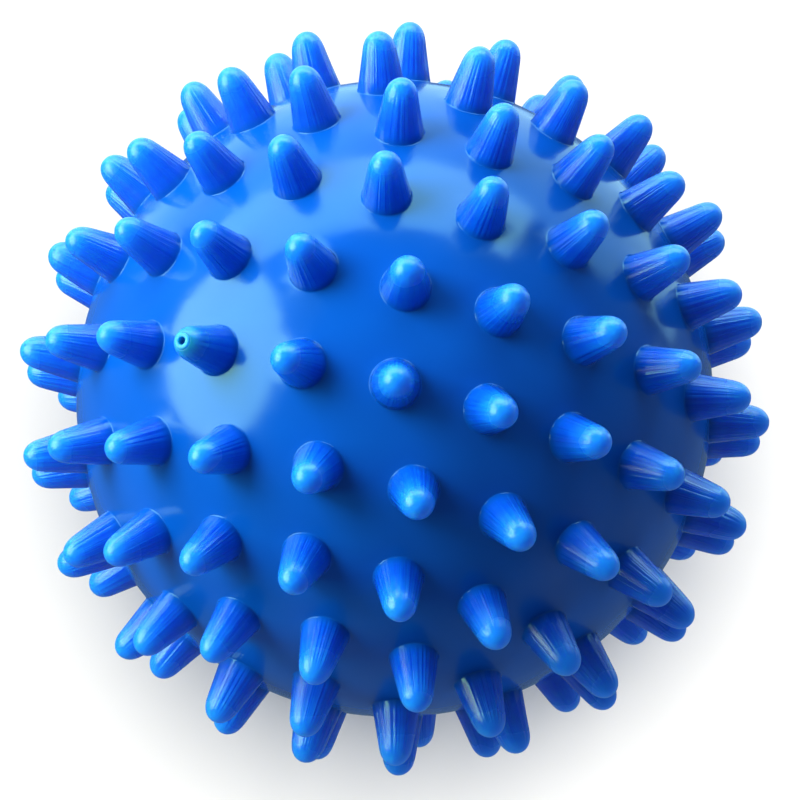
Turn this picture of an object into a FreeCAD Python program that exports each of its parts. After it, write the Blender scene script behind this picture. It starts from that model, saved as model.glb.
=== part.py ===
"""Spiky massage ball: a hollow ball of soft vinyl, welded from two moulded halves, with an air valve.

Each half is moulded standing on its own seam: the pole is +Z, the seam lies in the XY plane, and the
spikes stand on rings of latitude. In the finished ball the poles lie along Y, so the seam is the XZ
plane, and +Z is the side that faces up when the ball lies on its seam-side spikes.
Lengths are in millimetres and angles in degrees. The origin is the ball's centre.
"""
import FreeCAD, Part
import math
import os

import Sketcher

Vector = FreeCAD.Vector
Rotation = FreeCAD.Rotation

DIMENSIONS = {
    # the ball's wall
    "ball_radius": 38.0,
    "wall_thickness": 2.5,
    "weld_band_thickness": 0.8,
    "weld_band_height": 1.0,
    # one spike, measured along its axis from the ball's centre
    "spike_root_distance": 36.75,
    "spike_root_radius": 3.05,
    "spike_cap_distance": 43.05,
    "spike_cap_radius": 1.9,
    # the rings of spikes on one half, from the seam to the pole
    "rings": 6,
    "seam_ring_count": 22,
    "ring1_turn": -1.1,
    "ring2_turn": -9.0,
    "ring3_turn": -12.1,
    "ring4_turn": -28.2,
    "plain_ring5_turn": 15.5,
    "valve_ring5_turn": 3.0,
    "ring6_turn": 0.0,
    # the air valve, in the third spike of the valve half's first ring
    "valve_spike_number": 2,
    "valve_boss_radius": 3.6,
    "valve_boss_face_distance": 34.5,
    "valve_bore_radius": 1.0,
    "valve_rim_distance": 44.8,
    "needle_hole_radius": 0.45,
    "valve_head_radius": 3.2,
    "valve_head_length": 5.0,
    "core_radius": 2.0,
    "core_length": 4.0,
    "core_slit_radius": 0.2,
}


def derived(size):
    """Sizes that follow from the driving ones, kept in the same sheet so that features can use them."""
    more = {"full_turn": 360.0}
    more["inner_radius"] = size["ball_radius"] - size["wall_thickness"]
    more["weld_band_radius"] = more["inner_radius"] - size["weld_band_thickness"]
    more["boss_root_distance"] = size["ball_radius"] - size["wall_thickness"] / 2
    more["bore_end_distance"] = size["spike_cap_distance"] + 2 * size["spike_cap_radius"]
    more["head_end_distance"] = size["valve_boss_face_distance"] - size["valve_head_length"]
    more["core_top_distance"] = more["head_end_distance"] + size["core_length"]
    # The rings of both halves are evenly spaced from pole to pole, so the first ones are half a step
    # from the seam, and the spikes along a ring keep the spacing of the widest ring.
    more["ring_step"] = 180.0 / (2 * size["rings"] - 1)
    for ring in range(1, int(size["rings"]) + 1):
        latitude = more["ring_step"] * (ring - 0.5)
        around = math.cos(math.radians(latitude)) * size["seam_ring_count"]
        more[f"ring{ring}_latitude"] = latitude
        more[f"ring{ring}_count"] = max(1, round(around))
    more["valve_longitude"] = (
        size["ring1_turn"] + size["valve_spike_number"] * 360.0 / size["seam_ring_count"]
    )
    # Half a spike's spacing, so that the ball lies on four spikes and not on one pair.
    more["lying_turn"] = 180.0 / size["seam_ring_count"]
    return more


size = dict(DIMENSIONS)
size.update(derived(size))

doc = FreeCAD.newDocument("massage_ball")
sheet = doc.addObject("Spreadsheet::Sheet", "Dims")
for row, (alias, value) in enumerate(size.items(), start=1):
    sheet.set(f"A{row}", alias)
    sheet.set(f"B{row}", repr(value))
    sheet.setAlias(f"B{row}", alias)
doc.recompute()


def new_body(label):
    body = doc.addObject("PartDesign::Body", label)
    body.Label = label
    return body


def origin_feature(body, role):
    return next(feature for feature in body.Origin.OriginFeatures if feature.Role == role)


def new_sketch(body, name, plane="XY_Plane", direction=None):
    """A sketch on one of the body's planes. direction names a latitude and a longitude in the sheet, and
    turns the sketch's own x axis to point that way out of the ball's centre."""
    sketch = body.newObject("Sketcher::SketchObject", name)
    sketch.AttachmentSupport = [(origin_feature(body, plane), "")]
    sketch.MapMode = "FlatFace"
    if direction:
        latitude, longitude = direction
        turn = f"rotation({longitude}; -({latitude}); 0)"
        sketch.setExpression("AttachmentOffset", f"placement(vector(0; 0; 0); {turn})")
    return sketch


def bind(sketch, constraint, alias):
    """Add a constraint and bind its value to a cell of the sheet."""
    index = sketch.addConstraint(constraint)
    sketch.setExpression(f"Constraints[{index}]", f"Dims.{alias}")


def fix_point(sketch, line, end, x_alias, y_alias):
    """Hold one end of a line at a place given by two cells; None stands for zero."""
    for kind, alias, axis in (("DistanceX", x_alias, -2), ("DistanceY", y_alias, -1)):
        if alias is None:
            sketch.addConstraint(Sketcher.Constraint("PointOnObject", line, end, axis))
        else:
            bind(sketch, Sketcher.Constraint(kind, -1, 1, line, end, size[alias]), alias)


def closed_outline(sketch, corners):
    """A closed outline of straight lines through corners, each an (x, y) pair of cell names."""
    places = [Vector(size.get(x, 0.0), size.get(y, 0.0), 0) for x, y in corners]
    for start, end in zip(places, places[1:] + places[:1]):
        sketch.addGeometry(Part.LineSegment(start, end), False)
    for line, (x_alias, y_alias) in enumerate(corners):
        before = (line - 1) % len(corners)
        sketch.addConstraint(Sketcher.Constraint("Coincident", before, 2, line, 1))
        fix_point(sketch, line, 1, x_alias, y_alias)


def spin(body, name, sketch, kind="Revolution", axis="H_Axis"):
    """Turn a sketch all the way round one of its own axes, adding to the body or cutting from it."""
    feature = body.newObject(f"PartDesign::{kind}", name)
    feature.Profile = sketch
    feature.ReferenceAxis = (sketch, [axis])
    feature.setExpression("Angle", "Dims.full_turn")
    feature.Refine = False
    body.Tip = feature
    return feature


def add_half_wall(body):
    """The hollow half ball, with a thicker band inside where the two halves are welded together."""
    sketch = new_sketch(body, "wall_outline", plane="XZ_Plane")
    outer, inner = size["ball_radius"], size["inner_radius"]
    band, height = size["weld_band_radius"], size["weld_band_height"]
    shoulder = math.sqrt(inner**2 - height**2)
    up = Vector(0, 0, 1)
    outer_arc = Part.ArcOfCircle(Part.Circle(Vector(), up, outer), 0, math.pi / 2)
    inner_arc = Part.ArcOfCircle(Part.Circle(Vector(), up, inner), math.asin(height / inner), math.pi / 2)
    sketch.addGeometry(outer_arc, False)
    sketch.addGeometry(Part.LineSegment(Vector(0, outer, 0), Vector(0, inner, 0)), False)
    sketch.addGeometry(inner_arc, False)
    sketch.addGeometry(Part.LineSegment(Vector(shoulder, height, 0), Vector(band, height, 0)), False)
    sketch.addGeometry(Part.LineSegment(Vector(band, height, 0), Vector(band, 0, 0)), False)
    sketch.addGeometry(Part.LineSegment(Vector(band, 0, 0), Vector(outer, 0, 0)), False)
    for first, first_end, second, second_end in (
        (0, 2, 1, 1), (1, 2, 2, 2), (2, 1, 3, 1), (3, 2, 4, 1), (4, 2, 5, 1), (5, 2, 0, 1),
    ):
        joint = Sketcher.Constraint("Coincident", first, first_end, second, second_end)
        sketch.addConstraint(joint)
    for arc in (0, 2):
        sketch.addConstraint(Sketcher.Constraint("Coincident", arc, 3, -1, 1))
    for line, direction in ((1, "Vertical"), (3, "Horizontal"), (4, "Vertical"), (5, "Horizontal")):
        sketch.addConstraint(Sketcher.Constraint(direction, line))
    sketch.addConstraint(Sketcher.Constraint("PointOnObject", 1, 1, -2))
    sketch.addConstraint(Sketcher.Constraint("PointOnObject", 5, 1, -1))
    bind(sketch, Sketcher.Constraint("Radius", 0, outer), "ball_radius")
    bind(sketch, Sketcher.Constraint("Radius", 2, inner), "inner_radius")
    fix_point(sketch, 4, 1, "weld_band_radius", "weld_band_height")
    spin(body, "wall", sketch, axis="V_Axis")


def draw_spike(sketch):
    """Half of a spike's outline along the sketch's x axis: a cone that runs smoothly into a round cap."""
    root, root_radius = size["spike_root_distance"], size["spike_root_radius"]
    cap, cap_radius = size["spike_cap_distance"], size["spike_cap_radius"]
    reach = math.hypot(cap - root, root_radius)
    flank = math.asin(cap_radius / reach) - math.atan2(root_radius, cap - root)
    touch_angle = math.pi / 2 + flank
    touch = Vector(cap + cap_radius * math.cos(touch_angle), cap_radius * math.sin(touch_angle), 0)
    cap_circle = Part.Circle(Vector(cap, 0, 0), Vector(0, 0, 1), cap_radius)
    sketch.addGeometry(Part.LineSegment(Vector(root, 0, 0), Vector(root, root_radius, 0)), False)
    sketch.addGeometry(Part.LineSegment(Vector(root, root_radius, 0), touch), False)
    sketch.addGeometry(Part.ArcOfCircle(cap_circle, 0, touch_angle), False)
    sketch.addGeometry(Part.LineSegment(Vector(cap + cap_radius, 0, 0), Vector(root, 0, 0)), False)
    sketch.addConstraint(Sketcher.Constraint("Coincident", 0, 2, 1, 1))
    sketch.addConstraint(Sketcher.Constraint("Tangent", 1, 2, 2, 2))
    sketch.addConstraint(Sketcher.Constraint("Coincident", 2, 1, 3, 1))
    sketch.addConstraint(Sketcher.Constraint("Coincident", 3, 2, 0, 1))
    sketch.addConstraint(Sketcher.Constraint("PointOnObject", 3, 1, -1))
    fix_point(sketch, 0, 1, "spike_root_distance", None)
    fix_point(sketch, 0, 2, "spike_root_distance", "spike_root_radius")
    fix_point(sketch, 2, 3, "spike_cap_distance", None)
    bind(sketch, Sketcher.Constraint("Radius", 2, cap_radius), "spike_cap_radius")


def add_spike_ring(body, ring, turn_alias):
    """One ring: a spike at the ring's turn, repeated round the pole."""
    direction = (f"Dims.ring{ring}_latitude", f"Dims.{turn_alias}")
    sketch = new_sketch(body, f"ring{ring}_outline", direction=direction)
    draw_spike(sketch)
    spike = spin(body, f"ring{ring}_spike", sketch)
    if size[f"ring{ring}_count"] == 1:
        return
    pattern = body.newObject("PartDesign::PolarPattern", f"ring{ring}_spikes")
    pattern.Originals = [spike]
    pattern.Axis = (origin_feature(body, "Z_Axis"), [""])
    pattern.setExpression("Angle", "Dims.full_turn")
    pattern.setExpression("Occurrences", f"Dims.ring{ring}_count")
    pattern.Refine = False
    body.Tip = pattern


def half_shell(label, ring5_turn):
    """One moulded half: wall and rings of spikes."""
    body = new_body(label)
    add_half_wall(body)
    for ring in range(1, int(size["rings"]) + 1):
        turn_alias = ring5_turn if ring == 5 else f"ring{ring}_turn"
        add_spike_ring(body, ring, turn_alias)
    return body


def add_valve_seat(body):
    """A boss inside the wall under one spike, and a bore through boss, wall and spike."""
    direction = ("Dims.ring1_latitude", "Dims.valve_longitude")
    boss = new_sketch(body, "boss_outline", direction=direction)
    face, root, edge = "valve_boss_face_distance", "boss_root_distance", "valve_boss_radius"
    closed_outline(boss, [(face, None), (face, edge), (root, edge), (root, None)])
    spin(body, "boss", boss)
    bore = new_sketch(body, "bore_outline", direction=direction)
    start, end, edge = "head_end_distance", "bore_end_distance", "valve_bore_radius"
    closed_outline(bore, [(start, None), (start, edge), (end, edge), (end, None)])
    spin(body, "bore", bore, kind="Groove")


def valve_sleeve(label):
    """A soft tube whose rim stands in the spike's tip; its head holds the core inside the ball."""
    body = new_body(label)
    rim, face, end = "valve_rim_distance", "valve_boss_face_distance", "head_end_distance"
    sketch = new_sketch(body, "sleeve_outline")
    closed_outline(sketch, [
        ("core_top_distance", "needle_hole_radius"),
        (rim, "needle_hole_radius"),
        (rim, "valve_bore_radius"),
        (face, "valve_bore_radius"),
        (face, "valve_head_radius"),
        (end, "valve_head_radius"),
        (end, "core_radius"),
        ("core_top_distance", "core_radius"),
    ])
    spin(body, "sleeve", sketch)
    return body


def valve_core(label):
    """The soft plug that closes behind the needle; the narrow hole is the needle's path through it."""
    body = new_body(label)
    top, end = "core_top_distance", "head_end_distance"
    sketch = new_sketch(body, "core_outline")
    closed_outline(sketch, [
        (end, "core_slit_radius"), (top, "core_slit_radius"), (top, "core_radius"), (end, "core_radius"),
    ])
    spin(body, "core", sketch)
    return body


# From a half's own axes to the ball's: the pole goes to +Y and the start of the longitudes to +Z, and
# then the ball is turned about its poles by half a spike's spacing.
pole_to_y = Rotation(Vector(1, 1, 1), -120)
lying = Rotation(Vector(0, 1, 0), size["lying_turn"])
plain_turn = lying * pole_to_y
# The valve half is turned over about the start of its longitudes, so the seams meet.
valve_turn = plain_turn * Rotation(Vector(1, 0, 0), 180)
# The valve's own pieces are made along x, which then points out through the valve spike.
along_valve = valve_turn * Rotation(size["valve_longitude"], -size["ring1_latitude"], 0)

plain_half = half_shell("half_shell_plain", "plain_ring5_turn")
valve_half = half_shell("half_shell_valve", "valve_ring5_turn")
add_valve_seat(valve_half)
sleeve = valve_sleeve("valve_sleeve")
core = valve_core("valve_core")
for piece, turn in (
    (plain_half, plain_turn), (valve_half, valve_turn), (sleeve, along_valve), (core, along_valve),
):
    piece.Placement = FreeCAD.Placement(Vector(), turn)
doc.recompute()

pieces = (plain_half, valve_half, sleeve, core)
for item in doc.Objects:
    if "Invalid" in item.State or "Error" in item.State:
        raise RuntimeError(f"{item.Label} failed: {item.State}")
for piece in pieces:
    if piece.Shape.isNull() or not piece.Shape.isValid() or len(piece.Shape.Solids) != 1:
        raise RuntimeError(f"{piece.Label} isn't one valid solid")

# A half's volume is known from its sizes: the wall, plus what each spike adds outside it.
wall_only = 2 / 3 * math.pi * (size["ball_radius"] ** 3 - size["inner_radius"] ** 3)
spikes = sum(size[f"ring{ring}_count"] for ring in range(1, int(size["rings"]) + 1))
per_spike = (plain_half.Shape.Volume - wall_only) / spikes
print("spikes on each half", spikes, "volume outside the wall per spike", round(per_spike, 1))
if not 60 < per_spike < 160:
    raise RuntimeError("a ring of spikes is missing or doubled")

os.makedirs("parts", exist_ok=True)
for piece in pieces:
    piece.Shape.exportStep(f"parts/{piece.Label}.step")
    print(piece.Label, "volume", round(piece.Shape.Volume, 1), "box", piece.Shape.BoundBox)
tip = size["spike_cap_distance"] + size["spike_cap_radius"]
print("across opposite tips", 2 * tip)
direction = along_valve.multVec(Vector(1, 0, 0))
print("valve axis", [round(value, 5) for value in direction])
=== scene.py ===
# %% [markdown]
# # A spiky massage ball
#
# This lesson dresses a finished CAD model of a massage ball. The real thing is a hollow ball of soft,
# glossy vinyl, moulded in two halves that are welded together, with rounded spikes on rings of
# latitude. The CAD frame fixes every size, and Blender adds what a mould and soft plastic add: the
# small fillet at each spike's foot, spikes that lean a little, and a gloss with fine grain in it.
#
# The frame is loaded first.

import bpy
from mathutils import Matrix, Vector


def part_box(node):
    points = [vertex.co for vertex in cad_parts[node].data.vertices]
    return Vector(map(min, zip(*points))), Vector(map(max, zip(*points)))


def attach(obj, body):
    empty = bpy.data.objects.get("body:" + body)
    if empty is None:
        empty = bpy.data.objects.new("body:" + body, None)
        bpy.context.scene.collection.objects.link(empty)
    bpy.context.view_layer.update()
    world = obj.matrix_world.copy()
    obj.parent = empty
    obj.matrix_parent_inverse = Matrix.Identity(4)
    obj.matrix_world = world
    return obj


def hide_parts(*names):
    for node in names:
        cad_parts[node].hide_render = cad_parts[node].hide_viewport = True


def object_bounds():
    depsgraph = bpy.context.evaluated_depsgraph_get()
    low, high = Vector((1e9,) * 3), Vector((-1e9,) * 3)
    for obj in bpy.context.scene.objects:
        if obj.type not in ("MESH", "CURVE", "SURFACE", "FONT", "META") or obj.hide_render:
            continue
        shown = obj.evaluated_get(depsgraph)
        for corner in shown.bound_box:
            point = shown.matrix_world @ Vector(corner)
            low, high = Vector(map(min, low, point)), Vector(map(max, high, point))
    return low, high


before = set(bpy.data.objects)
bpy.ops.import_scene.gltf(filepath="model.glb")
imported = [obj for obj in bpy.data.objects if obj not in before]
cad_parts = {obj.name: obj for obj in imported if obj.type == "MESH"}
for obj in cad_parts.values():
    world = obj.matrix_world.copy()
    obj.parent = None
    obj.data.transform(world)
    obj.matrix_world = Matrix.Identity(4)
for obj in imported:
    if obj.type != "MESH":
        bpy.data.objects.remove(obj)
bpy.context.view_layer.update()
print("CAD pieces:", sorted(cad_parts))

# %% Blender's own modules
import math

import bmesh
import bpy
from mathutils import Euler, Matrix, Vector
from mathutils.geometry import delaunay_2d_cdt

scene = bpy.context.scene

# %% [markdown]
# ## Sizes
#
# The CAD ball stands 44.95 design millimetres from its centre to the tip of a pole spike. Measuring
# the same reach on the frame gives the length of one design millimetre in Blender's metres, and
# every other size is given in those. If the frame were made larger, the looks would follow.

# %% The driving sizes
DESIGN_REACH = 44.95
half_shells = ("half_shell_plain", "half_shell_valve")
tip_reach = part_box("half_shell_plain")[1].y
mm = tip_reach / DESIGN_REACH
print("one design millimetre is", round(mm, 7), "m")

BALL = 38.0 * mm
INNER = 35.5 * mm
WELD_BAND = 34.7 * mm
WELD_BAND_HEIGHT = 1.0 * mm

SPIKE_ROOT = 36.75 * mm
SPIKE_ROOT_RADIUS = 3.05 * mm
SPIKE_CAP = 43.05 * mm
SPIKE_CAP_RADIUS = 1.9 * mm
FOOT_FILLET = 0.2 * mm

VALVE_BORE = 1.0 * mm
VALVE_RIM = 44.8 * mm
VALVE_BOSS = 3.6 * mm
VALVE_BOSS_FACE = 34.5 * mm
NEEDLE_HOLE = 0.45 * mm

# %% [markdown]
# ## Where the spikes stand
#
# Six rings of spikes go from the seam to the pole on each half, one even step of latitude apart. The
# number on a ring follows the ring's length, so the spikes keep their spacing. Each ring starts at a
# small turn of its own. A half's own axes have the pole along +Z. The finished ball lies with its
# poles along Y, and the half with the valve is the other one turned over.

# %% The rings of spikes
RINGS = 6
SEAM_RING_COUNT = 22
RING_TURNS = {
    "half_shell_plain": (-1.1, -9.0, -12.1, -28.2, 15.5, 0.0),
    "half_shell_valve": (-1.1, -9.0, -12.1, -28.2, 3.0, 0.0),
}
VALVE_SPIKE = (0, 2)

pole_to_y = Matrix.Rotation(math.radians(-120), 3, Vector((1, 1, 1)))
lying_turn = Matrix.Rotation(math.radians(180 / SEAM_RING_COUNT), 3, "Y")
turned_over = Matrix.Rotation(math.pi, 3, "X")
HALF_TURNS = {
    "half_shell_plain": lying_turn @ pole_to_y,
    "half_shell_valve": lying_turn @ pole_to_y @ turned_over,
}


def spike_places(half):
    """Every spike of one half: the rotation that takes +Z to its axis, and whether it is the valve's."""
    places = []
    step = 180 / (2 * RINGS - 1)
    for ring, turn in enumerate(RING_TURNS[half]):
        latitude = math.radians(step * (ring + 0.5))
        count = max(1, round(SEAM_RING_COUNT * math.cos(latitude)))
        for spike in range(count):
            longitude = math.radians(turn + 360 * spike / count)
            across = math.cos(latitude)
            own = Vector((across * math.cos(longitude), across * math.sin(longitude), math.sin(latitude)))
            rotation = (HALF_TURNS[half] @ own).to_track_quat("Z", "Y")
            is_valve = half == "half_shell_valve" and (ring, spike) == VALVE_SPIKE
            places.append((rotation.to_euler(), is_valve))
    return places


PLACES = {half: spike_places(half) for half in half_shells}
print("spikes:", {half: len(places) for half, places in PLACES.items()})

# %% [markdown]
# ## A spike's outline
#
# A spike is turned like a chess piece: an outline is swept round an axis. From the top, the outline
# is a cap, a straight flank, and a fillet that touches both the flank and the ball. The cap isn't an
# arc of a circle. Its bend fades to nothing where the flank starts, so a glossy spike shows no ring
# there. A moulded fillet is what tells a spike that grows out of the skin from one stuck on it. The
# fillet's centre is the point that is one fillet radius from the flank and from the ball.

# %% Helpers for outlines
SPIKE_SIDES = 28


def arc(centre, radius, start, end, steps):
    """Points along an arc, as (across, along) pairs. Angles are from the axis, in radians."""
    points = []
    for step in range(steps + 1):
        angle = start + (end - start) * step / steps
        points.append((centre[0] + radius * math.sin(angle), centre[1] + radius * math.cos(angle)))
    return points


def soft_cap(length, end_angle, steps=10):
    """Points down from the tip. The bend is strongest on top and fades to none where the flank starts."""
    points, across, drop, angle = [(0.0, 0.0)], 0.0, 0.0, 0.0
    for step in range(1, steps + 1):
        share = step / steps
        after = end_angle * (1.5 * share - 0.5 * share**3)
        across += length / steps * math.cos((angle + after) / 2)
        drop += length / steps * math.sin((angle + after) / 2)
        angle = after
        points.append((across, drop))
    return points


def spike_outline():
    """From the foot on the ball's surface up to the tip, as (across, along) pairs."""
    rise = SPIKE_CAP - SPIKE_ROOT
    reach = math.hypot(rise, SPIKE_ROOT_RADIUS)
    lean = math.atan2(SPIKE_ROOT_RADIUS, rise) - math.asin(SPIKE_CAP_RADIUS / reach)
    flank_angle = math.pi / 2 - lean
    outward = Vector((math.cos(lean), math.sin(lean)))
    root = Vector((SPIKE_ROOT_RADIUS, SPIKE_ROOT))
    # Slide down the flank's parallel until the fillet's centre is one radius above the ball.
    low, high = 0.0, rise
    along_flank = Vector((-math.sin(lean), math.cos(lean)))
    for _ in range(40):
        middle = (low + high) / 2
        centre = root + outward * FOOT_FILLET + along_flank * middle
        low, high = (middle, high) if centre.length < BALL + FOOT_FILLET else (low, middle)
    foot_angle = math.atan2(centre.x, centre.y)
    fillet = arc(centre, FOOT_FILLET, foot_angle + math.pi, math.pi + flank_angle, 5)
    # Stretch the cap until its end lies on the flank.
    tip = SPIKE_CAP + SPIKE_CAP_RADIUS
    short, long = SPIKE_CAP_RADIUS, 4 * SPIKE_CAP_RADIUS
    for _ in range(40):
        length = (short + long) / 2
        across, drop = soft_cap(length, flank_angle)[-1]
        beyond = outward.dot(Vector((across, tip - drop)) - root)
        short, long = (length, long) if beyond < 0 else (short, length)
    cap = [(across, tip - drop) for across, drop in reversed(soft_cap(length, flank_angle))]
    start, end = Vector(fillet[-1]), Vector(cap[0])
    flank = [tuple(start.lerp(end, step / 7)) for step in range(1, 7)]
    return fillet + flank + cap


outline = spike_outline()
foot_radius = outline[0][0]
print("foot radius", round(foot_radius / mm, 2), "mm, tip at", round(outline[-1][1] / mm, 2), "mm")

# %% A lathe
def lathe(name, points, sides=SPIKE_SIDES, below=0.0):
    """Sweep (across, along) points round +Z into a mesh. A point on the axis becomes one vertex.
    below is taken off every height, so that the mesh's origin can be on the ball's surface."""
    mesh = bpy.data.meshes.new(name)
    shape = bmesh.new()
    rows = []
    for across, along in points:
        if across < 1e-9:
            rows.append([shape.verts.new((0, 0, along - below))])
            continue
        row = []
        for side in range(sides):
            angle = 2 * math.pi * side / sides
            row.append(shape.verts.new((across * math.cos(angle), across * math.sin(angle), along - below)))
        rows.append(row)
    for lower, upper in zip(rows, rows[1:]):
        for side in range(sides):
            after = (side + 1) % sides
            corners = [lower[side % len(lower)], lower[after % len(lower)]]
            corners += [upper[after % len(upper)], upper[side % len(upper)]]
            corners = list(dict.fromkeys(corners))
            if len(corners) > 2:
                shape.faces.new(corners)
    shape.to_mesh(mesh)
    shape.free()
    own_place = mesh.attributes.new("own_place", "FLOAT_VECTOR", "POINT")
    own_place.data.foreach_set("vector", [part for vertex in mesh.vertices for part in vertex.co])
    return mesh


def put_in_scene(name, mesh):
    piece = bpy.data.objects.new(name, mesh)
    scene.collection.objects.link(piece)
    return piece


plain_spike = put_in_scene("plain_spike", lathe("plain_spike", outline, below=BALL))
print("a spike has", len(plain_spike.data.polygons), "faces")

# %% [markdown]
# ## The valve spike
#
# One spike is bored through for the air valve. Its outline is the plain one up to the bore. There it
# turns over a very small rounded lip and runs down the bore, through the wall, to the boss inside. The
# outline ends on the inner skin, round the boss.

# %% The valve spike's outline
LIP = 0.06 * mm
BORE_ROWS = (44.0, 42.0, 39.0, 36.0)


def valve_spike_outline():
    outside = [point for point in outline if point[0] > VALVE_BORE + 2 * LIP]
    inside = outline[len(outside)]
    share = (outside[-1][0] - VALVE_BORE - LIP) / (outside[-1][0] - inside[0])
    lip_top = outside[-1][1] + share * (inside[1] - outside[-1][1])
    lip_centre = (VALVE_BORE + LIP, lip_top - LIP)
    lip = arc(lip_centre, LIP, math.radians(30), math.radians(-90), 5)
    bore = [(VALVE_BORE, height * mm) for height in BORE_ROWS]
    boss = [(VALVE_BORE, VALVE_BOSS_FACE), (VALVE_BOSS, VALVE_BOSS_FACE)]
    inner_skin = (VALVE_BOSS, math.sqrt(INNER**2 - VALVE_BOSS**2))
    return outside + lip + bore + boss + [inner_skin]


valve_outline = valve_spike_outline()
valve_spike = put_in_scene("valve_spike", lathe("valve_spike", valve_outline, below=BALL))
print("the valve spike has", len(valve_spike.data.polygons), "faces")

# %% [markdown]
# ## The skin between the spikes
#
# The skin is a sphere with a round hole wherever a spike's foot stands. A quad sphere cut by booleans
# would leave ragged triangles along every cut, and they show as dents in a glossy surface. Here the
# points are placed first: the rims of the holes, the circle of the seam, and an even spread between
# them. They are flattened onto a disc by stereographic projection, which keeps circles round, joined
# up by a Delaunay triangulation, and lifted back onto the sphere.

# %% Cover part of a sphere with triangles
GOLDEN_TURN = math.pi * (3 - math.sqrt(5))
SEAM_SIDES = 240
SKIN_SPACING = 1.25 * mm
INNER_SPACING = 3.0 * mm
# In an even grid of triangles the rows are this share of the spacing apart.
ROW_SHARE = 0.866


def seam_circle(radius, height):
    """Points round the pole axis at one height above the seam, in a half's own axes."""
    across = math.sqrt(max(radius**2 - height**2, 0.0))
    turns = (2 * math.pi * side / SEAM_SIDES for side in range(SEAM_SIDES))
    return [Vector((across * math.cos(turn), across * math.sin(turn), height)) for turn in turns]


def even_spread(radius, spacing):
    """Points spread evenly over the half sphere above the seam, along a golden spiral."""
    count = round(2 * math.pi * radius**2 / (ROW_SHARE * spacing**2))
    points = []
    for index in range(count):
        height = (index + 0.5) / count
        across = math.sqrt(1 - height**2)
        turn = GOLDEN_TURN * index
        points.append(radius * Vector((across * math.cos(turn), across * math.sin(turn), height)))
    return points


def cover_sphere(radius, circles, holes, spacing):
    """Triangles over a half sphere. circles are rows of points at the seam, the first one its edge.
    holes are closed rows of points that stay empty inside. Everything is in the half's own axes."""
    points, edges, hole_of = [], [], {}
    for number, row in enumerate(list(circles) + list(holes)):
        first = len(points)
        points += row
        if number == 0 or number >= len(circles):
            edges += [(first + i, first + (i + 1) % len(row)) for i in range(len(row))]
        if number >= len(circles):
            hole_of.update({first + i: number for i in range(len(row))})
    lowest = circles[-1][0].z + 0.6 * spacing
    middles = []
    for row in holes:
        middle = sum(row, Vector()) / len(row)
        middles.append((middle, (row[0] - middle).length + 0.55 * spacing))
    for point in even_spread(radius, spacing):
        clear = all((point - middle).length > gap for middle, gap in middles)
        if clear and point.z > lowest:
            points.append(point)
    flat = [Vector((p.x / (radius + p.z), p.y / (radius + p.z))) for p in points]
    vertices, _, faces, origins, _, _ = delaunay_2d_cdt(flat, edges, [], 0, 1e-7)
    if len(vertices) != len(points):
        raise RuntimeError("the triangulation merged or added a point")
    kept = []
    for face in faces:
        corners = [origins[vertex][0] for vertex in face]
        rims = {hole_of.get(corner) for corner in corners}
        if len(rims) == 1 and None not in rims:
            continue
        kept.append(corners)
    return points, kept


print("points spread over one half:", len(even_spread(BALL, SKIN_SPACING)))

# %% One half's skin, inside and out
SECOND_ROW_HEIGHT = 0.2 * mm


def ring_round(rotation, across, along):
    """The points where a lathed row lands once its spike is turned to its place."""
    turns = (2 * math.pi * side / SPIKE_SIDES for side in range(SPIKE_SIDES))
    return [rotation @ Vector((across * math.cos(t), across * math.sin(t), along)) for t in turns]


def half_skin(half):
    """The wall of one half without its spikes: outer skin, weld band and inner skin, as one mesh."""
    to_own = HALF_TURNS[half].inverted()
    feet, valve_hole = [], []
    for turn, is_valve in PLACES[half]:
        rotation = to_own @ turn.to_matrix()
        feet.append(ring_round(rotation, *outline[0]))
        if is_valve:
            valve_hole.append(ring_round(rotation, *valve_outline[-1]))
    seam_rows = [seam_circle(BALL, 0.0), seam_circle(BALL, SECOND_ROW_HEIGHT)]
    band_row = seam_circle(INNER, WELD_BAND_HEIGHT)
    covers = (
        cover_sphere(BALL, seam_rows, feet, SKIN_SPACING),
        cover_sphere(INNER, [band_row], valve_hole, INNER_SPACING),
    )
    rows = [
        seam_rows[0],
        [point * (WELD_BAND / BALL) for point in seam_rows[0]],
        [point * (WELD_BAND / BALL) + Vector((0, 0, WELD_BAND_HEIGHT)) for point in seam_rows[0]],
        band_row,
    ]
    skin = bmesh.new()
    for points, faces in covers:
        corners = [skin.verts.new(HALF_TURNS[half] @ point) for point in points]
        for face in faces:
            skin.faces.new([corners[corner] for corner in face])
    band = [[skin.verts.new(HALF_TURNS[half] @ point) for point in row] for row in rows]
    for lower, upper in zip(band, band[1:]):
        for side in range(SEAM_SIDES):
            after = (side + 1) % SEAM_SIDES
            skin.faces.new((lower[side], lower[after], upper[after], upper[side]))
    mesh = bpy.data.meshes.new(half + "_skin")
    skin.to_mesh(mesh)
    skin.free()
    return mesh


SKINS = {half: half_skin(half) for half in half_shells}
print("skin faces:", {half: len(mesh.polygons) for half, mesh in SKINS.items()})

# %% [markdown]
# ## Seats for the spikes
#
# Geometry Nodes will set a spike on every seat. A seat is a loose vertex on the ball's surface that
# carries two attributes: the turn that points a spike outwards, and a mark on the seat of the valve.

# %% Make the seats
def spike_seats(half):
    seats = bpy.data.meshes.new(half + "_seats")
    places = PLACES[half]
    seats.from_pydata([turn.to_matrix() @ Vector((0, 0, BALL)) for turn, _ in places], [], [])
    turns = seats.attributes.new("turn", "FLOAT_VECTOR", "POINT")
    marks = seats.attributes.new("valve", "BOOLEAN", "POINT")
    for index, (turn, is_valve) in enumerate(places):
        turns.data[index].vector = Vector(turn)
        marks.data[index].value = is_valve
    return put_in_scene(half + "_seats", seats)


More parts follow.
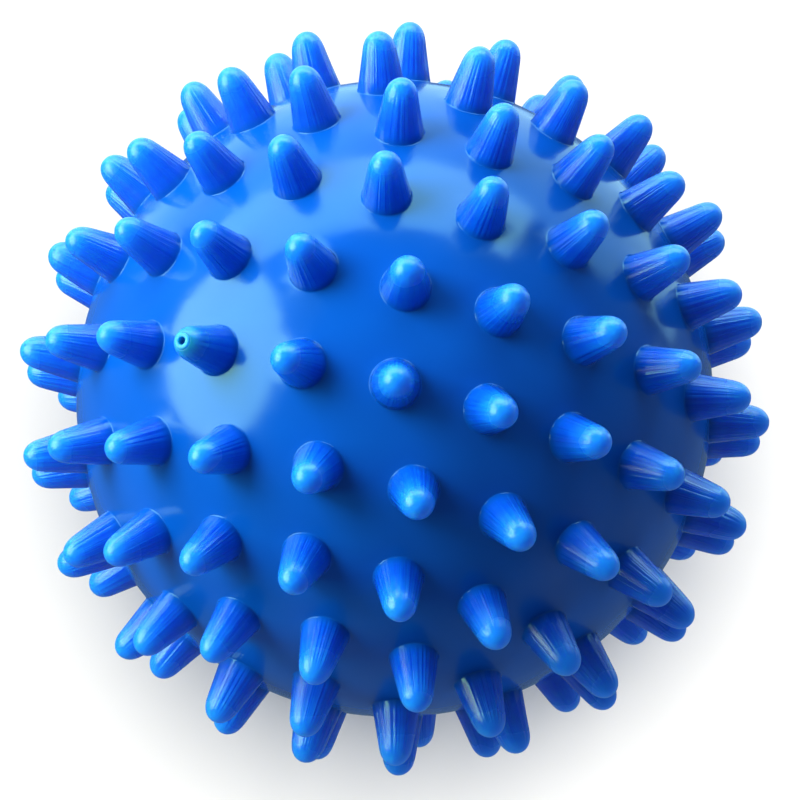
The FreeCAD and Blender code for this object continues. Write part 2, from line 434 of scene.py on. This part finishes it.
SEATS = {half: spike_seats(half) for half in half_shells}

# %% [markdown]
# ## Growing the spikes with Geometry Nodes
#
# The tree takes the bare skin, sets a spike on each seat, and welds the feet to the holes left for
# them. Before that, each spike gets a random lean: the flank is pushed sideways by an amount that
# grows with the square of the height, as a soft spike bends. The foot never moves, so the weld holds,
# and the valve's spike stays straight round its sleeve. The tree also writes how high on its spike
# each point is, as the attribute rise, which the vinyl's colour and gloss read later. A second
# attribute, own_place, keeps where the point was on the upright spike, before it was turned.

# %% Build the tree
def add_node(tree, kind, inputs=None, **settings):
    """A node with its settings, and its inputs given as values or as other nodes' outputs."""
    node = tree.nodes.new(kind)
    for name, value in settings.items():
        setattr(node, name, value)
    for socket, value in (inputs or {}).items():
        if isinstance(value, bpy.types.NodeSocket):
            tree.links.new(value, node.inputs[socket])
        else:
            node.inputs[socket].default_value = value
    return node


def arithmetic(tree, operation, *values, **settings):
    """The result of a Math node."""
    node = add_node(tree, "ShaderNodeMath", dict(enumerate(values)), operation=operation, **settings)
    return node.outputs[0]


def scaled(tree, vector, factor):
    """A vector or a colour times a factor."""
    return add_node(tree, "ShaderNodeVectorMath", {0: vector, "Scale": factor}, operation="SCALE").outputs[0]


SPIKE_INPUTS = {
    "Seats": "NodeSocketObject", "Plain spike": "NodeSocketObject", "Valve spike": "NodeSocketObject",
    "Ball radius": "NodeSocketFloat", "Spike height": "NodeSocketFloat", "Lean": "NodeSocketFloat",
    "Seed": "NodeSocketInt", "Material": "NodeSocketMaterial",
}
WELD_DISTANCE = 3e-6


def spike_tree():
    tree = bpy.data.node_groups.new("grow_spikes", "GeometryNodeTree")
    tree.is_modifier = True
    tree.interface.new_socket("Geometry", in_out="OUTPUT", socket_type="NodeSocketGeometry")
    tree.interface.new_socket("Geometry", in_out="INPUT", socket_type="NodeSocketGeometry")
    sockets = {}
    for name, kind in SPIKE_INPUTS.items():
        socket = tree.interface.new_socket(name, in_out="INPUT", socket_type=kind)
        sockets[name] = socket.identifier
    given = tree.nodes.new("NodeGroupInput").outputs
    seats = add_node(tree, "GeometryNodeObjectInfo", {"Object": given["Seats"]})
    turn = add_node(tree, "GeometryNodeInputNamedAttribute", {"Name": "turn"}, data_type="FLOAT_VECTOR")
    valve = add_node(tree, "GeometryNodeInputNamedAttribute", {"Name": "valve"}, data_type="BOOLEAN")
    rotation = add_node(tree, "FunctionNodeEulerToRotation", {0: turn.outputs["Attribute"]})
    plain = add_node(tree, "FunctionNodeBooleanMath", {0: valve.outputs["Attribute"]}, operation="NOT")
    grown = []
    choices = {"Plain spike": plain.outputs[0], "Valve spike": valve.outputs["Attribute"]}
    for spike, selection in choices.items():
        shape = add_node(tree, "GeometryNodeObjectInfo", {"Object": given[spike]})
        grown.append(add_node(tree, "GeometryNodeInstanceOnPoints", {
            "Points": seats.outputs["Geometry"],
            "Selection": selection,
            "Instance": shape.outputs["Geometry"],
            "Rotation": rotation.outputs[0],
        }).outputs[0])
    sideways = add_node(tree, "FunctionNodeRandomValue", {
        0: (-1.0, -1.0, -1.0), 1: (1.0, 1.0, 1.0), "Seed": given["Seed"],
    }, data_type="FLOAT_VECTOR")
    lean = scaled(tree, sideways.outputs["Value"], given["Lean"])
    leaning = add_node(tree, "GeometryNodeStoreNamedAttribute", {
        "Geometry": grown[0], "Name": "lean", "Value": lean,
    }, data_type="FLOAT_VECTOR", domain="INSTANCE")
    spikes = add_node(tree, "GeometryNodeJoinGeometry")
    for geometry in (leaning.outputs[0], grown[1]):
        tree.links.new(geometry, spikes.inputs[0])
    real = add_node(tree, "GeometryNodeRealizeInstances", {0: spikes.outputs[0]})
    position = add_node(tree, "GeometryNodeInputPosition")
    out = add_node(tree, "ShaderNodeVectorMath", {0: position.outputs[0]}, operation="LENGTH")
    above = arithmetic(tree, "SUBTRACT", out.outputs["Value"], given["Ball radius"])
    share = arithmetic(tree, "DIVIDE", above, given["Spike height"], use_clamp=True)
    with_rise = add_node(tree, "GeometryNodeStoreNamedAttribute", {
        "Geometry": real.outputs[0], "Name": "rise", "Value": share,
    }, data_type="FLOAT", domain="POINT")
    rise = add_node(tree, "GeometryNodeInputNamedAttribute", {"Name": "rise"}, data_type="FLOAT").outputs[0]
    squared = arithmetic(tree, "MULTIPLY", rise, rise)
    stored = add_node(tree, "GeometryNodeInputNamedAttribute", {"Name": "lean"}, data_type="FLOAT_VECTOR")
    push = scaled(tree, stored.outputs["Attribute"], squared)
    bent = add_node(tree, "GeometryNodeSetPosition", {"Geometry": with_rise.outputs[0], "Offset": push})
    whole = add_node(tree, "GeometryNodeJoinGeometry")
    for geometry in (given["Geometry"], bent.outputs[0]):
        tree.links.new(geometry, whole.inputs[0])
    merged = add_node(tree, "GeometryNodeMergeByDistance", {
        "Geometry": whole.outputs[0], "Distance": WELD_DISTANCE,
    })
    realized = add_node(tree, "GeometryNodeRealizeInstances", {0: merged.outputs[0]})
    finished = add_node(tree, "GeometryNodeSetMaterial", {
        "Geometry": realized.outputs[0], "Material": given["Material"],
    })
    output = tree.nodes.new("NodeGroupOutput")
    tree.links.new(finished.outputs[0], output.inputs[0])
    return tree, sockets


grow_spikes, SPIKE_SOCKETS = spike_tree()
print("tree inputs:", list(SPIKE_SOCKETS))

# %% [markdown]
# ## Shared surface effects
#
# Every material here is soft plastic or rubber, so two effects are shared as node groups. Grain is
# the surface's shape: broad ripples that a soft moulding keeps, and a very fine orange peel. Handling
# is what use leaves: faint smears that are a little less glossy.

# %% The grain group
def shader_group(name, inputs, outputs):
    group = bpy.data.node_groups.new(name, "ShaderNodeTree")
    for socket, value in inputs.items():
        number = group.interface.new_socket(socket, in_out="INPUT", socket_type="NodeSocketFloat")
        number.default_value = value
    for socket, kind in outputs.items():
        group.interface.new_socket(socket, in_out="OUTPUT", socket_type=kind)
    return group, group.nodes.new("NodeGroupInput").outputs, group.nodes.new("NodeGroupOutput").inputs


def ramp(tree, value, low, high, start=0.0, end=1.0):
    """Goes evenly from start to end while value goes from low to high, and stays level outside that."""
    return add_node(tree, "ShaderNodeMapRange", {
        "Value": value, "From Min": low, "From Max": high, "To Min": start, "To Max": end,
    }).outputs[0]


def noise(tree, place, scale, detail=2.0, roughness=0.5):
    return add_node(tree, "ShaderNodeTexNoise", {
        "Vector": place, "Scale": scale, "Detail": detail, "Roughness": roughness,
    }).outputs["Fac"]


def grain_group():
    """Height in metres: ripples plus orange peel. Sizes are in metres too."""
    group, given, made = shader_group(
        "moulded_grain",
        {"Ripple size": 0.02, "Ripple height": 1e-5, "Peel size": 0.001, "Peel height": 1e-6},
        {"Height": "NodeSocketFloat"},
    )
    place = group.nodes.new("ShaderNodeTexCoord").outputs["Object"]
    total = None
    for size, height in (("Ripple size", "Ripple height"), ("Peel size", "Peel height")):
        scale = arithmetic(group, "DIVIDE", 1.0, given[size])
        raised = arithmetic(group, "MULTIPLY", noise(group, place, scale, detail=1.0), given[height])
        total = raised if total is None else arithmetic(group, "ADD", total, raised)
    group.links.new(total, made["Height"])
    return group


moulded_grain = grain_group()

# %% The handling group
def handling_group():
    """The roughness of a surface with soft smears on it."""
    group, given, made = shader_group(
        "handling_smears",
        {"Smear size": 0.012, "Base roughness": 0.15, "Smeared roughness": 0.3},
        {"Roughness": "NodeSocketFloat"},
    )
    place = group.nodes.new("ShaderNodeTexCoord").outputs["Object"]
    scale = arithmetic(group, "DIVIDE", 1.0, given["Smear size"])
    mask = ramp(group, noise(group, place, scale, detail=4.0, roughness=0.6), 0.45, 0.75)
    rough = ramp(group, mask, 0.0, 1.0, given["Base roughness"], given["Smeared roughness"])
    group.links.new(rough, made["Roughness"])
    return group


handling_smears = handling_group()

# %% [markdown]
# ## The blue vinyl
#
# Soft vinyl takes its colour all the way through and lets a little light in. A spike is thin, so light
# that enters it comes out again, and its flanks are a purer blue than the skin. Its tip is painted lighter
# and greener: the vinyl's blue with painted glow and painted highlight on it. The attribute rise mixes
# the three blues, with a slow mottle over them. It also lets the light in, from none on the skin, where
# the two halves meet face to face and any light let in would end in a dark line, to most on a spike.
#
# The skin's gloss is clear and fairly sharp, and a blue-green tint on what it reflects keeps the
# highlights in the ball's own hue. A coat on the spikes has no tint and makes theirs paler. Fine
# lines run up every flank, where the spike was drawn out of the mould. They are noise that turns round
# the spike's own axis and doesn't change along it, read from the attribute own_place. The random lean
# is added to it, so that no two spikes have the same lines.

# %% Make the vinyl
SKIN_BLUE = (0.001, 0.069, 0.42, 1.0)
FLANK_BLUE = (0.001, 0.084, 0.62, 1.0)
# The tip's blue is the vinyl's blue made lighter and greener with painted glow and painted highlight.
TIP_BLUE_PAINTED_GLOW = (0.006, 0.215, 0.78, 1.0)
REFLECTED_TINT = (0.46, 0.90, 0.85, 1.0)
LINE_HEIGHT = 2.6e-4
LINE_SCALE = 6.5
# A lean is a fraction of a millimetre, so this many times it moves a spike to noise of its own.
LINE_SHUFFLE = 40000.0


def placed_group(tree, group, **values):
    node = tree.nodes.new("ShaderNodeGroup")
    node.node_tree = group
    for name, value in values.items():
        node.inputs[name.replace("_", " ")].default_value = value
    return node


def mixed_colour(tree, factor, low, high, blend="MIX"):
    node = tree.nodes.new("ShaderNodeMix")
    node.data_type = "RGBA"
    node.blend_type = blend
    for socket, value in ((0, factor), (6, low), (7, high)):
        if isinstance(value, bpy.types.NodeSocket):
            tree.links.new(value, node.inputs[socket])
        else:
            node.inputs[socket].default_value = value
    return node.outputs[2]


def new_material(name):
    material = bpy.data.materials.new(name)
    material.use_nodes = True
    return material, material.node_tree, material.node_tree.nodes["Principled BSDF"]


def wire_bump(tree, surface, height, strength=1.0):
    bump = add_node(tree, "ShaderNodeBump", {"Height": height, "Strength": strength, "Distance": 1.0})
    tree.links.new(bump.outputs["Normal"], surface.inputs["Normal"])


def attribute(tree, name, output):
    return add_node(tree, "ShaderNodeAttribute", attribute_name=name).outputs[output]


def draw_lines(tree, rise):
    """Height in metres of the fine lines that run up a spike, left as it is drawn out of the mould."""
    own = attribute(tree, "own_place", "Vector")
    flat = add_node(tree, "ShaderNodeVectorMath", {0: own, 1: (1.0, 1.0, 0.0)}, operation="MULTIPLY")
    round_axis = add_node(tree, "ShaderNodeVectorMath", {0: flat.outputs[0]}, operation="NORMALIZE")
    apart = scaled(tree, attribute(tree, "lean", "Vector"), LINE_SHUFFLE)
    place = add_node(tree, "ShaderNodeVectorMath", {0: round_axis.outputs[0], 1: apart}, operation="ADD")
    lines = noise(tree, place.outputs[0], LINE_SCALE, detail=1.0)
    shown = arithmetic(tree, "MULTIPLY", ramp(tree, rise, 0.02, 0.2), ramp(tree, rise, 0.92, 0.7))
    return arithmetic(tree, "MULTIPLY", arithmetic(tree, "MULTIPLY", lines, shown), LINE_HEIGHT)


def blue_vinyl():
    material, tree, surface = new_material("blue_soft_vinyl")
    rise = attribute(tree, "rise", "Fac")
    foot = ramp(tree, rise, 0.02, 0.15)
    tip = ramp(tree, rise, 0.35, 1.0)
    place = tree.nodes.new("ShaderNodeTexCoord").outputs["Object"]
    mottle = ramp(tree, noise(tree, place, 70.0, detail=3.0), 0.0, 1.0, 0.90, 1.10)
    lower = mixed_colour(tree, foot, SKIN_BLUE, FLANK_BLUE)
    # Towards the tip the blue turns to the painted glow and painted highlight.
    colour = mixed_colour(tree, tip, lower, TIP_BLUE_PAINTED_GLOW)
    tree.links.new(scaled(tree, colour, mottle), surface.inputs["Base Color"])
    smears = placed_group(
        tree, handling_smears, Smear_size=0.015, Base_roughness=0.13, Smeared_roughness=0.27,
    )
    rough = arithmetic(tree, "MULTIPLY_ADD", tip, 0.20, smears.outputs["Roughness"])
    tree.links.new(rough, surface.inputs["Roughness"])
    grain = placed_group(
        tree, moulded_grain, Ripple_size=0.016, Ripple_height=6e-5, Peel_size=0.0008, Peel_height=1.5e-6,
    )
    wire_bump(tree, surface, arithmetic(tree, "ADD", grain.outputs["Height"], draw_lines(tree, rise)))
    surface.inputs["IOR"].default_value = 1.53
    surface.inputs["Specular Tint"].default_value = REFLECTED_TINT
    tree.links.new(arithmetic(tree, "MULTIPLY", foot, 0.55), surface.inputs["Coat Weight"])
    surface.inputs["Coat Roughness"].default_value = 0.26
    tree.links.new(ramp(tree, rise, 0.03, 0.3, 0.0, 0.75), surface.inputs["Subsurface Weight"])
    surface.inputs["Subsurface Radius"].default_value = (0.0004, 0.0009, 0.0050)
    surface.inputs["Subsurface Scale"].default_value = 1.0
    return material


vinyl = blue_vinyl()

# %% Grow both halves
LEAN = 0.18 * mm


def finish_mesh(mesh, flat_edge_angle=50):
    """Face outwards, count open edges, and keep real corners sharp while the rest shades smoothly."""
    shape = bmesh.new()
    shape.from_mesh(mesh)
    bmesh.ops.recalc_face_normals(shape, faces=shape.faces)
    open_edges = sum(1 for edge in shape.edges if len(edge.link_faces) != 2)
    for face in shape.faces:
        face.smooth = True
    for edge in shape.edges:
        edge.smooth = edge.calc_face_angle(math.pi) < math.radians(flat_edge_angle)
    shape.to_mesh(mesh)
    shape.free()
    return open_edges


def grow_half(half, seed):
    bare = put_in_scene(half + "_bare", SKINS[half])
    grower = bare.modifiers.new("grow_spikes", "NODES")
    grower.node_group = grow_spikes
    values = {
        "Seats": SEATS[half], "Plain spike": plain_spike, "Valve spike": valve_spike,
        "Ball radius": BALL, "Spike height": tip_reach - BALL, "Lean": LEAN, "Seed": seed,
        "Material": vinyl,
    }
    for name, value in values.items():
        grower[SPIKE_SOCKETS[name]] = value
    bpy.context.view_layer.update()
    evaluated = bare.evaluated_get(bpy.context.evaluated_depsgraph_get())
    mesh = bpy.data.meshes.new_from_object(evaluated)
    bpy.data.objects.remove(bare)
    open_edges = finish_mesh(mesh)
    name = half.replace("half_shell", "spiked_half")
    piece = put_in_scene(name, mesh)
    mesh.name = name
    print(name, "faces", len(mesh.polygons), "open edges", open_edges)
    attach(piece, "root")
    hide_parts(half)
    return piece


spiked_halves = [grow_half(half, seed) for seed, half in enumerate(half_shells, start=3)]

# %% Clear away the helpers
for helper in [plain_spike, valve_spike, *SEATS.values()]:
    bpy.data.objects.remove(helper)

# %% [markdown]
# ## The valve
#
# The sleeve is a small soft tube whose rim stands in the tip of the valve spike, round the needle's
# hole. It is lathed again, with its rim rounded over, and then turned to the spike's axis. It lets light
# in, and its blue is painted paler than the ball's as a painted highlight, so the rim shows as a bright
# ring. The core behind it is hidden, and keeps its CAD shape with a rubber finish.

# %% The sleeve
def rubber(name, colour, roughness, see_in=0.0):
    material, tree, surface = new_material(name)
    place = tree.nodes.new("ShaderNodeTexCoord").outputs["Object"]
    cloud = noise(tree, place, 900.0, detail=3.0)
    dark = tuple(0.8 * part for part in colour[:3]) + (1.0,)
    tree.links.new(mixed_colour(tree, cloud, dark, colour), surface.inputs["Base Color"])
    smears = placed_group(
        tree, handling_smears,
        Smear_size=0.002, Base_roughness=roughness, Smeared_roughness=roughness + 0.15,
    )
    tree.links.new(smears.outputs["Roughness"], surface.inputs["Roughness"])
    grain = placed_group(
        tree, moulded_grain, Ripple_size=0.002, Ripple_height=4e-6, Peel_size=0.0003, Peel_height=1e-6,
    )
    wire_bump(tree, surface, grain.outputs["Height"])
    surface.inputs["Subsurface Weight"].default_value = see_in
    surface.inputs["Subsurface Radius"].default_value = (0.0004, 0.0020, 0.0050)
    surface.inputs["Subsurface Scale"].default_value = 1.0
    return material


# The sleeve's blue is paler than the ball's as a painted highlight, so its rim shows as a bright ring.
pale_sleeve_painted_highlight = rubber("pale_sleeve_painted_highlight", (0.015, 0.28, 0.76, 1.0), 0.4, see_in=0.9)
core_rubber = rubber("core_rubber", (0.02, 0.02, 0.03, 1.0), 0.6)


def sleeve_outline():
    """A closed outline, from the hole's rounded mouth out over the rim and down to the head, and back."""
    roundness, mouth_roundness = 0.24 * mm, 0.13 * mm
    outer = VALVE_BORE - 0.01 * mm
    head, head_end = 3.2 * mm, 29.5 * mm
    core, core_top = 2.0 * mm, 33.5 * mm
    mouth_centre = (NEEDLE_HOLE + mouth_roundness, VALVE_RIM - mouth_roundness)
    mouth = arc(mouth_centre, mouth_roundness, math.radians(-90), 0.0, 6)
    edge = arc((outer - roundness, VALVE_RIM - roundness), roundness, 0.0, math.radians(90), 6)
    down = [(outer, VALVE_BOSS_FACE), (head, VALVE_BOSS_FACE), (head, head_end), (core, head_end)]
    back = [(core, core_top), (NEEDLE_HOLE, core_top), (NEEDLE_HOLE, 40.0 * mm)]
    return mouth + edge + down + back + [mouth[0]]


valve_turn = next(turn for turn, is_valve in PLACES["half_shell_valve"] if is_valve)
sleeve_mesh = lathe("valve_sleeve_rim", sleeve_outline(), sides=48)
sleeve_mesh.transform(valve_turn.to_matrix().to_4x4())
joined = bmesh.new()
joined.from_mesh(sleeve_mesh)
bmesh.ops.remove_doubles(joined, verts=joined.verts, dist=1e-7)
joined.to_mesh(sleeve_mesh)
joined.free()
print("sleeve open edges", finish_mesh(sleeve_mesh))
sleeve = put_in_scene("needle_sleeve", sleeve_mesh)
sleeve_mesh.materials.append(pale_sleeve_painted_highlight)
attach(sleeve, "root")
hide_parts("valve_sleeve")

# %% The core
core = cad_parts["valve_core"]
core.data.materials.clear()
core.data.materials.append(core_rubber)

# %% [markdown]
# ## Floor, camera and light
#
# The ball lies on a plain white table and is seen from almost straight above, a little from the side
# of the half with the valve. The camera is far away for its size, as with a long lens, so the
# ball hardly looks nearer in the middle than at its edge.
#
# A glossy ball is a mirror of its room, so each soft panel has a shape and a place to be seen in. The
# window makes the round patch on the left, and the far window and the lit table beyond it make the
# band along the top. The side fill and the overhead light only light, and aren't seen in the gloss.
# The overhead light is for the table alone and keeps it white, while the other panels light only the
# ball. The ball doesn't mirror the white table, which would wash out its lower edge. A dim blue-green
# room fills the shadows, and the camera sees a plain white wall in its place.

# %% The floor
floor_mesh = bpy.data.meshes.new("floor")
FLOOR_HALF = 0.6
FLOOR_GAP = 0.00002
floor_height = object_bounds()[0][2] - FLOOR_GAP
corners = [(FLOOR_HALF * x, FLOOR_HALF * y, floor_height) for x, y in ((-1, -1), (1, -1), (1, 1), (-1, 1))]
floor_mesh.from_pydata(corners, [], [(0, 1, 2, 3)])
floor = put_in_scene("floor", floor_mesh)
floor_paint, floor_tree, floor_surface = new_material("table_white")
floor_surface.inputs["Base Color"].default_value = (0.92, 0.88, 0.81, 1.0)
floor_surface.inputs["Roughness"].default_value = 0.9
floor_mesh.materials.append(floor_paint)

# %% The camera
CAMERA_TURN = 9.7
CAMERA_DIP = 10.55
CAMERA_ROLL = 13.95
CAMERA_DISTANCE = 11.83 * BALL
LENS = 168.9
CAMERA_SHIFT = (0.0068, -0.0018)

turn, dip = math.radians(CAMERA_TURN), math.radians(-CAMERA_DIP)
towards = Vector((math.cos(dip) * math.sin(turn), math.sin(dip), math.cos(dip) * math.cos(turn)))
level_right = Vector((math.cos(turn), 0, -math.sin(turn)))
level_up = towards.cross(level_right)
roll = math.radians(CAMERA_ROLL)
view_right = level_right * math.cos(roll) + level_up * math.sin(roll)
view_up = towards.cross(view_right)
camera_data = bpy.data.cameras.new("camera")
camera_data.lens = LENS
camera_data.sensor_width = 36.0
camera_data.shift_x, camera_data.shift_y = CAMERA_SHIFT
camera_data.clip_start = 0.01
camera = bpy.data.objects.new("camera", camera_data)
scene.collection.objects.link(camera)
axes = Matrix((view_right, view_up, towards)).transposed()
camera.matrix_world = Matrix.Translation(towards * CAMERA_DISTANCE) @ axes.to_4x4()
scene.camera = camera
print("camera looks along", [round(part, 3) for part in -towards])


# %% The lights
def panel(name, right, up, near, width, height, power, colour=(1.0, 1.0, 1.0), shape="RECTANGLE"):
    """A soft flat light, placed by how far it is right, up and near as the camera sees it."""
    data = bpy.data.lights.new(name, "AREA")
    data.shape = shape
    data.size, data.size_y = width, height
    data.energy = power
    data.color = colour
    lamp = bpy.data.objects.new(name, data)
    scene.collection.objects.link(lamp)
    place = view_right * right + view_up * up + towards * near
    facing = place.to_track_quat("Z", "Y").to_matrix()
    lamp.matrix_world = Matrix.Translation(place) @ facing.to_4x4()
    return lamp


window = panel("window", -0.76, 0.20, 0.36, 0.84, 0.74, 10.4, (0.80, 1.0, 0.60), shape="ELLIPSE")
far_window = panel("far_window", -0.10, 0.806, 0.175, 1.6, 0.48, 12.0, (0.66, 0.98, 0.90))
lit_table = panel("lit_table", 0.12, 0.680, -0.490, 2.4, 1.10, 14.0, (0.46, 0.86, 0.96))
side_fill = panel("side_fill", -0.72, 0.52, 0.62, 0.6, 0.6, 16.0, (0.72, 0.96, 1.0))
overhead = panel("overhead", 0.0, 0.25, 1.3, 1.2, 1.2, 33.5)
lit_table.visible_diffuse = False
side_fill.visible_glossy = False
overhead.visible_glossy = False
floor.visible_glossy = False
floor.visible_shadow = False
table_only = bpy.data.collections.new("table_only")
table_only.objects.link(floor)
overhead.light_linking.receiver_collection = table_only
ball_only = bpy.data.collections.new("ball_only")
for piece in [*spiked_halves, sleeve, core]:
    ball_only.objects.link(piece)
for lamp in (window, far_window, lit_table, side_fill):
    lamp.light_linking.receiver_collection = ball_only

# %% The world
world = bpy.data.worlds.new("pale_room")
scene.world = world
world.use_nodes = True
backdrop = world.node_tree.nodes["Background"]
backdrop.inputs["Color"].default_value = (0.45, 0.72, 0.86, 1.0)
backdrop.inputs["Strength"].default_value = 0.22
world_nodes = world.node_tree.nodes
seen_wall = world_nodes.new("ShaderNodeBackground")
seen_wall.inputs["Color"].default_value = (1.0, 1.0, 1.0, 1.0)
either = world_nodes.new("ShaderNodeMixShader")
world.node_tree.links.new(world_nodes.new("ShaderNodeLightPath").outputs["Is Camera Ray"], either.inputs[0])
world.node_tree.links.new(backdrop.outputs[0], either.inputs[1])
world.node_tree.links.new(seen_wall.outputs[0], either.inputs[2])
world.node_tree.links.new(either.outputs[0], world_nodes["World Output"].inputs["Surface"])
scene.view_settings.view_transform = "Standard"
